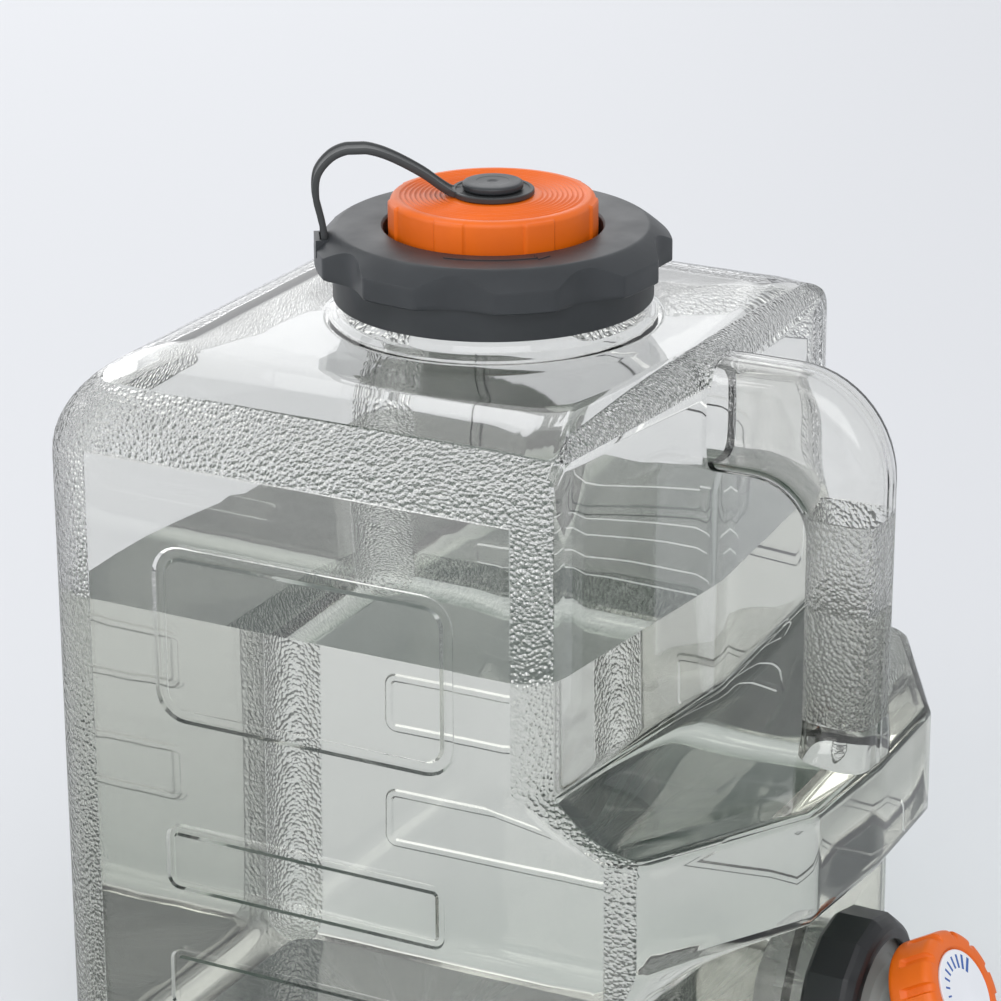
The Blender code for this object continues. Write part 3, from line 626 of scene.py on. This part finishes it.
def lid():
    """Rings round the neck's axis: skirt, lobed rim, sloped shoulder, flat top, well, spout and underside.

    The shoulder is a cone, so each scoop in the rim cuts it along an arch.
    """
    count = 384
    angles = np.arange(count) * 2 * math.pi / count
    rim = rim_radius(angles)
    rings = []

    def ring(radius, z):
        """One ring of the rim: (radius cos t, radius sin t, z), where either may follow the angle."""
        radius, z = np.broadcast_to(radius, count), np.broadcast_to(z, count)
        rings.append(np.column_stack([radius * np.cos(angles), radius * np.sin(angles), z]))

    face, foot = 56.5 * MM, LID_TOP - 14.5 * MM
    shoulder = lambda r: LID_TOP - 6.5 * MM * np.maximum((r - face) / (8.5 * MM), 0) ** 1.25
    for r, z in softened(np.array([(55.9, 298.1), (58.4, 298.1), (58.4, 308.2), (58.4, 309.9)]) * MM, 0.5 * MM, 3):
        ring(r, z)
    for part in (0.0, 0.5, 0.94):
        ring(58.4 * MM + (rim - 58.4 * MM) * part, foot)
    edge = shoulder(rim)
    ring(rim, foot + 0.5 * MM)
    for part in (0.2, 0.5, 0.8):
        ring(rim, foot + (edge - foot) * part)
    ring(rim, edge - 0.5 * MM)
    for part in (0.985, 0.9, 0.75, 0.6, 0.45, 0.3, 0.15, 0.05):
        r = face + (rim - face) * part
        ring(r, shoulder(r))
    inside = [(56, 0), (47, 0), (40.6, 0), (39.8, -0.8), (39.8, -12), (31.4, -12), (31.4, 5.4), (30.8, 6), (29.2, 6),
              (28.6, 5.4), (28.6, -15), (42.3, -15), (42.3, -3), (55.9, -3)]
    for r, z in softened(np.array(inside) * MM, 0.3 * MM, 2):
        ring(r, LID_TOP + z)
    body = lofted("lid_body", rings, slate, looped=True, angle=32)
    spout_thread = thread("spout_thread", 30.9 * MM, 33 * MM, 4 * MM, 1.25, LID_TOP - 5 * MM, 1.9 * MM, 0.8 * MM,
                          72, slate)
    lid_thread = thread("lid_thread", 56.5 * MM, 53.9 * MM, 6 * MM, 1.5, 300.2 * MM, 2.4 * MM, 1.2 * MM, 72, slate,
                        inner=True)
    combined(body, [spout_thread, lid_thread, strap_block("lug", 13, 13, 56, 64.6, -9, -2.6)], "UNION")
    combined(body, [strap_block("slot", 10.2, 10.2, 59.9, 62.9, -5.5, 4)], "DIFFERENCE")
    sharpen(body, 32)
    bevelled(body, 0.35 * MM)
    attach(body, "lid")
    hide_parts("lid")


def strap_block(name, head, foot, near, far, low, high):
    """A block on the strap's radius, in mm, with its heights measured from the lid's top."""
    outline = [(near, -foot / 2), (far, -head / 2), (far, head / 2), (near, foot / 2)]
    c, s = math.cos(STRAP_AZIMUTH), math.sin(STRAP_AZIMUTH)
    rings = [[((r * c - t * s) * MM, (r * s + t * c) * MM, LID_TOP + z * MM) for r, t in outline]
             for z in (low, high)]
    return lofted(name, rings, slate)


def strip(name, route, half_width, thickness, material):
    """A flat raised band along a closed or open route on a level surface, given as (x, y) and one height."""
    route = np.array(route)
    along = np.gradient(route[:, :2], axis=0)
    side = np.stack([-along[:, 1], along[:, 0]], 1) / np.linalg.norm(along, axis=1)[:, None]
    half = np.broadcast_to(half_width, len(route))[:, None]
    left, right = route[:, :2] + side * half, route[:, :2] - side * half
    low, high = route[:, 2:], route[:, 2:] + thickness
    rings = np.stack([np.hstack([right, low]), np.hstack([right, high]), np.hstack([left, high]),
                      np.hstack([left, low])], 1)
    return lofted(name, rings[:, ::-1], material)


def lid_mark():
    """A generic turn mark on the lid's top: a thin arc with an arrowhead, moulded proud."""
    toward = math.radians(-152)
    angles = toward + np.radians(np.linspace(-22, 20, 40))
    z = np.full(len(angles), LID_TOP - 0.05 * MM)
    arc = strip("lid_mark_arc", np.column_stack([46 * MM * np.cos(angles), 46 * MM * np.sin(angles), z]), 0.6 * MM,
                0.35 * MM, slate)
    head = toward + np.radians(np.linspace(19.5, 26, 8))
    z = np.full(len(head), LID_TOP - 0.05 * MM)
    arrow = strip("lid_mark_arrow", np.column_stack([46 * MM * np.cos(head), 46 * MM * np.sin(head), z]),
                  np.linspace(2.3, 0.1, 8) * MM, 0.35 * MM, slate)
    for item in (arc, arrow):
        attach(item, "lid")


# ---------------------------------------------------------------- pouring cap, button and strap

def cap_wave(angles, radii, heights):
    """Seven raised grip pads on the cap's side, which fade at the rounded top edge."""
    pitch = 2 * math.pi / 7
    phase = np.abs((angles - math.radians(28.8) + pitch / 2) % pitch - pitch / 2)
    raised = np.clip((math.radians(9.4) - phase) / math.radians(1.0), 0, 1)
    on_side = (radii > 36.5 * MM) & (heights < CAP_TOP - 0.9 * MM)
    return 1 + 0.024 * raised * on_side


def pour_cap():
    """Underside, side, rounded edge, and a top with nine turned grooves round a plain middle."""
    grooves = np.linspace(33.9, 17.5, 130)
    depth = 0.5 * np.abs(np.sin((grooves - 17.5) * math.pi / 1.82)) ** 1.5
    edge = np.radians(np.linspace(0, 90, 9))
    side = np.linspace(LID_TOP / MM - 9.2, CAP_TOP / MM - 2.4, 8)
    top = CAP_TOP / MM
    profile = [(34.2, side[0] - 0.3), (36.6, side[0] - 0.3)] + [(37.2, z) for z in side]
    profile += [(35.0 + 2.2 * math.cos(t), top - 2.2 + 2.2 * math.sin(t)) for t in edge]
    profile += [(r, top - d) for r, d in zip(grooves, depth)]
    profile += [(4.6, top), (4.3, top - 0.3), (4.3, top - 7), (0.3, top - 7), (0.3, top - 9), (6.5, top - 9),
                (6.5, top - 2.6), (34.2, top - 2.6)]
    cap = turned("cap_body", np.array(profile) * MM, 448, orange, wave=cap_wave, angle=40)
    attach(cap, "pour_cap")
    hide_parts("pour_cap")


def tether_button():
    """A snap shank under a disc with a rounded edge, a shallow turned step and a dimple."""
    seat = CAP_TOP / MM + 2.2
    profile = [(3.4, seat - 8.6), (3.9, seat - 7.2), (3.6, seat - 6.2), (3.6, seat), (10.4, seat), (11, seat + 0.6),
               (11, seat + 1.9), (10.7, seat + 2.45), (10.1, seat + 2.7), (9.2, seat + 2.8), (6.2, seat + 2.8),
               (5.8, seat + 2.68), (3.2, seat + 2.66), (2.2, seat + 2.62), (1.2, seat + 2.3), (0.5, seat + 2.25)]
    button = turned("button", softened(np.array(profile) * MM, 0.3 * MM, 2), 128, slate, looped=False, angle=40)
    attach(button, "cap_carrier")
    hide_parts("tether_button")


def smooth_route(points, count):
    """A smooth curve through the points (Catmull-Rom), resampled evenly."""
    points = np.asarray(points, float)
    ends = np.vstack([2 * points[0] - points[1], points, 2 * points[-1] - points[-2]])
    t = np.linspace(0, 1, 12, endpoint=False)[:, None]
    runs = [0.5 * (2 * b + (c - a) * t + (2 * a - 5 * b + 4 * c - d) * t ** 2 + (3 * b - a - 3 * c + d) * t ** 3)
            for a, b, c, d in zip(ends, ends[1:], ends[2:], ends[3:])]
    dense = np.vstack(runs + [points[-1:]])
    length = np.concatenate([[0], np.cumsum(np.linalg.norm(np.diff(dense, axis=0), axis=1))])
    even = np.linspace(0, length[-1], count)
    return np.column_stack([np.interp(even, length, dense[:, k]) for k in range(2)])


def tether_strap():
    """A flat strap with a shallow channel on its outer face, from the rim's slot to an eyelet under the button."""
    route = smooth_route([(61.4, -5), (61.4, 0), (62.6, 6), (64.0, 13), (63.2, 21), (58.4, 27), (52.4, 29.6),
                          (46, 29.6), (39.6, 27.8), (32.6, 24.4), (25, 19.8), (19.5, 15.6), (15.5, 12.9), (12, 12.15),
                          (8, 12.1)], 110) * MM
    route[:, 1] = LID_TOP + np.minimum(route[:, 1], STRAP_RISE)
    along = np.gradient(route, axis=0)
    along /= np.linalg.norm(along, axis=1)[:, None]
    normal = np.column_stack([-along[:, 1], along[:, 0]])
    part = np.linspace(0, 1, len(route))
    half = np.interp(part, (0, 0.9, 1), (1.2, 1.2, 0.75)) * MM
    section = [(-4.8, -0.8), (-4.6, -1), (4.6, -1), (4.8, -0.8), (4.8, 0.8), (4.6, 1), (3.7, 1), (3.3, 0.5),
               (-3.3, 0.5), (-3.7, 1), (-4.6, 1), (-4.8, 0.8)]
    width, rise = np.array(section).T
    wide = np.broadcast_to(width * MM, (len(route), len(width)))
    place = route[:, None, :] - normal[:, None, :] * (half[:, None] * rise)[..., None]
    c, s = math.cos(STRAP_AZIMUTH), math.sin(STRAP_AZIMUTH)
    rings = np.stack([place[..., 0] * c - wide * s, place[..., 0] * s + wide * c, place[..., 1]], -1)
    strap = lofted("strap", rings, strap_look, angle=40)
    low = CAP_TOP / MM + 0.3
    eyelet = turned("eyelet", np.array([(4.2, low), (14.7, low), (15, low + 0.3), (15, low + 1.7), (14.7, low + 2),
                                        (13.6, low + 2), (13.3, low + 1.6), (4.2, low + 1.6)]) * MM, 128, strap_look)
    combined(strap, [eyelet], "UNION")
    sharpen(strap, 40)
    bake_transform(strap)
    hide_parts("tether_strap")


lid()
lid_mark()
pour_cap()
tether_button()
tether_strap()


# ---------------------------------------------------------------- tap

def valve_point(along):
    """A point on the valve's axis, measured outwards from the knob's back face."""
    return KNOB_BACK + Vector((0, -math.sin(VALVE_TILT), math.cos(VALVE_TILT))) * along


def tap_nut():
    """A ring nut with fourteen flats, a domed front edge and an inward lip."""
    deep = (NUT_FRONT - NUT_BACK) / MM

    def flats(angles, radii, heights):
        """Fourteen flats: past a radius of 30 mm, 1.012 cos(half a pitch) / cos(angle from the flat's middle)."""
        pitch = 2 * math.pi / 14
        phase = (angles + pitch / 2) % pitch - pitch / 2
        full = np.clip((radii - 30 * MM) / (2.5 * MM), 0, 1)
        return 1 + full * (math.cos(pitch / 2) / np.cos(phase) * 1.012 - 1)

    profile = [(28.9, 0), (31.8, 0), (33, 1.6), (33, deep - 5.4), (32.2, deep - 3.6), (30.4, deep - 1.2),
               (28.6, deep - 0.1), (26.4, deep), (24.9, deep), (24.4, deep - 0.5), (24.4, deep - 2.6),
               (28.9, deep - 2.6)]
    nut = turned("nut", softened(np.array(profile) * MM, 0.5 * MM, 3), 336, black, wave=flats, angle=24)
    ridge = thread("nut_thread", 29.4 * MM, 27.2 * MM, 3 * MM, 2.25, 1.5 * MM, 1.5 * MM, 0.7 * MM, 64, black,
                   inner=True)
    combined(nut, [ridge], "UNION")
    sharpen(nut, 24)
    moved(nut, (0, -NUT_BACK, TAP_Z), math.pi / 2)
    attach(nut, "tap_nut")
    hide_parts("tap_nut")


def tap_body():
    """Spigot and flange on the jug's axis, a slanting chamber and a spout, joined and then hollowed."""
    flange = turned("tap_shell", softened(np.array([(20.8, -9), (20.8, -0.2), (26.2, 0), (26.2, 3.2), (23, 3.2),
                    (19, 3.9), (15.5, 6.2), (13.4, 9.5), (13, 12)]) * MM, 0.6 * MM, 3), 128, grey, looped=False)
    moved(flange, (0, -FLANGE_BACK, TAP_Z), math.pi / 2)
    chamber = turned("chamber", softened(np.array([(13, 0), (14, 1), (14, 20.4), (13.4, 21)]) * MM, 0.4 * MM, 2), 128,
                     grey, looped=False)
    moved(chamber, valve_point(-27 * MM), VALVE_TILT)
    spout = turned("spout", softened(np.array([(7.7, 0), (8.2, 0.5), (9, 20), (9, 25.2)]) * MM, 0.4 * MM, 3), 96,
                   grey, looped=False)
    moved(spout, (0, -SPOUT_REACH, SPOUT_FOOT))
    collar = turned("collar", softened(np.array([(8.6, 0), (9.9, 0.6), (9.9, 2.4), (9.0, 3)]) * MM, 0.4 * MM, 3), 96,
                    grey, looped=False)
    moved(collar, (0, -SPOUT_REACH, SPOUT_FOOT + 16 * MM))
    combined(flange, [chamber, spout, collar], "UNION")
    entry = turned("entry", np.array([(17.5, 0), (17.5, 7), (5, 11)]) * MM, 64, grey, looped=False)
    seat = turned("seat", np.array([(4.5, 0), (4.5, 14)]) * MM, 48, grey, looped=False)
    cavity = turned("cavity", np.array([(9, 0), (9, 22)]) * MM, 64, grey, looped=False)
    outlet = turned("outlet", np.array([(5.7, 0), (5.7, 31.4)]) * MM, 64, grey, looped=False)
    combined(flange, [moved(entry, (0, -FLANGE_BACK + 10 * MM, TAP_Z), math.pi / 2),
                      moved(seat, valve_point(-29 * MM), VALVE_TILT),
                      moved(cavity, valve_point(-17 * MM), VALVE_TILT),
                      moved(outlet, (0, -SPOUT_REACH, SPOUT_FOOT - 3 * MM))], "DIFFERENCE")
    sharpen(flange, 32)
    bevelled(flange, 0.4 * MM)
    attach(flange, "tap")
    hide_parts("tap_body")


def tap_bonnet():
    """A collar in the chamber's mouth with a threaded neck."""
    profile = [(8.7, -9.2), (8.7, -5.6), (14, -5.6), (14, -2.6), (11.2, -2.6), (11.2, 10), (5.7, 10), (5.7, -9.2)]
    bonnet = turned("bonnet", softened(np.array(profile) * MM, 0.4 * MM, 2, closed=True), 96, grey)
    ridge = thread("bonnet_thread", 10.7 * MM, 12.6 * MM, 5 * MM, 1.0, 1.8 * MM, 1.8 * MM, 0.9 * MM, 64, grey)
    combined(bonnet, [ridge], "UNION")
    sharpen(bonnet, 32)
    moved(bonnet, valve_point(0), VALVE_TILT)
    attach(bonnet, "tap")
    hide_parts("tap_bonnet")


def tap_knob():
    """A hand wheel: twelve short grip notches in its front edge, a rounded rim and a seat for the label."""

    def notches(angles, radii, heights):
        """Twelve grip notches, each 5 degrees to either side with smoothstep flanks."""
        pitch = math.pi / 6
        phase = np.abs((angles + pitch / 2) % pitch - pitch / 2)
        cut = np.clip((math.radians(5.0) - phase) / math.radians(1.4), 0, 1)
        cut = cut * cut * (3 - 2 * cut)
        outer = np.clip((radii - 19 * MM) / (2 * MM), 0, 1)
        front = np.clip((heights - 5 * MM) / (2 * MM), 0, 1)
        return 1 - 0.065 * cut * outer * front

    turn = np.radians(np.linspace(0, 90, 9))
    profile = [(13.9, 0), (22.6, 0), (23.4, 0.3), (23.9, 1), (24, 2)] + [(24, z) for z in np.linspace(3, 14, 12)]
    profile += [(20.6 + 3.4 * math.cos(t), 14.6 + 3.4 * math.sin(t)) for t in turn]
    profile += [(19.4, 18), (18.2, 18), (17.4, 17.9), (16.9, 17.4), (16.4, 16.8), (2.1, 16.8), (2.1, 13.3),
                (4.5, 13.3), (4.5, 11.5), (13.9, 11.5)]
    knob = turned("knob", np.array(profile) * MM, 360, orange, wave=notches, angle=34)
    ridge = thread("knob_thread", 14.4 * MM, 11.7 * MM, 5 * MM, 1.0, 4.3 * MM, 1.8 * MM, 0.9 * MM, 64, orange,
                   inner=True)
    combined(knob, [ridge], "UNION")
    seat = turned("screw_seat", np.array([(4.4, 14.6), (4.4, 18)]) * MM, 48, orange, looped=False)
    combined(knob, [seat], "DIFFERENCE")
    sharpen(knob, 34)
    moved(knob, valve_point(0), VALVE_TILT)
    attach(knob, "tap_knob")
    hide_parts("tap_knob")


def knob_label():
    """A white printed disc, and on it a generic blue flow scale: a wedge of bars that widen round an arc."""
    disc = turned("label_disc", softened(np.array([(16.1, 17.1), (16.1, 17.7), (15.7, 17.95)]) * MM, 0.2 * MM, 2), 128,
                  white, looped=False)
    moved(disc, valve_point(0), VALVE_TILT)
    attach(disc, "tap_knob")
    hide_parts("knob_label")
    middle = math.radians(100)
    for i in range(9):
        turn = middle + math.radians(22 * (i - 4) * 0.72)
        half = (0.34 + 0.05 * (8 - i)) * MM
        reach = (1.1 + 0.24 * (8 - i)) * MM
        span = np.linspace(-reach, reach, 5)
        bar = np.column_stack([(11.6 * MM + span) * math.cos(turn), (11.6 * MM + span) * math.sin(turn),
                               np.full(5, 17.93 * MM)])
        piece = strip("label_bar_%d" % i, bar, half, 0.05 * MM, blue)
        moved(piece, valve_point(0), VALVE_TILT)
        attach(piece, "tap_knob")


def finish_cad_nodes():
    """The small CAD pieces that keep their shapes get their materials."""
    looks = {"lid_gasket": silicone, "cap_gasket": silicone, "tap_gasket": silicone, "bonnet_o_ring": rubber,
             "stem_o_ring_inner": rubber, "stem_o_ring_outer": rubber, "seat_washer": rubber, "tap_stem": grey,
             "knob_screw": screw_look}
    for node, look in looks.items():
        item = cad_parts[node]
        for slot in item.material_slots:
            slot.material = look


tap_nut()
tap_body()
tap_bonnet()
tap_knob()
knob_label()
finish_cad_nodes()


# ---------------------------------------------------------------- studio

def studio():
    """A pale floor under plain soft light: an even world colour and three soft area lamps."""
    floor = bpy.data.meshes.new("floor")
    floor.from_pydata([(-9, -9, 0), (9, -9, 0), (9, 9, 0), (-9, 9, 0)], [], [(0, 1, 2, 3)])
    pale, _, _ = new_material("pale_floor", Base_Color=linear("#dcdde0"), Roughness=0.6)
    floor.materials.append(pale)
    item = bpy.data.objects.new("floor", floor)
    bpy.context.scene.collection.objects.link(item)
    world = bpy.data.worlds.new("studio")
    bpy.context.scene.world = world
    world.use_nodes = True
    world.node_tree.nodes["Background"].inputs[0].default_value = linear("#e9ebee")
    world.node_tree.nodes["Background"].inputs[1].default_value = 0.9
    for name, place, aim, size, power in (
            ("key", (-2.0, -1.0, 1.9), (0, 0, 0.2), 2.4, 32), ("back", (1.6, 1.9, 1.6), (0, 0, 0.2), 3.2, 26),
            ("side", (-1.9, 1.3, 1.0), (0, 0, 0.2), 1.0, 10)):
        data = bpy.data.lights.new(name, "AREA")
        data.shape, data.size, data.energy = "SQUARE", size, power
        lamp = bpy.data.objects.new(name, data)
        bpy.context.scene.collection.objects.link(lamp)
        direction = Vector(place) - Vector(aim)
        lamp.matrix_world = Matrix.Translation(place) @ direction.to_track_quat("Z", "Y").to_matrix().to_4x4()
    bpy.context.scene.view_settings.view_transform = "Standard"
    cycles = bpy.context.scene.cycles
    cycles.max_bounces, cycles.transmission_bounces, cycles.glossy_bounces = 16, 16, 8
    cycles.transparent_max_bounces = 16


studio()
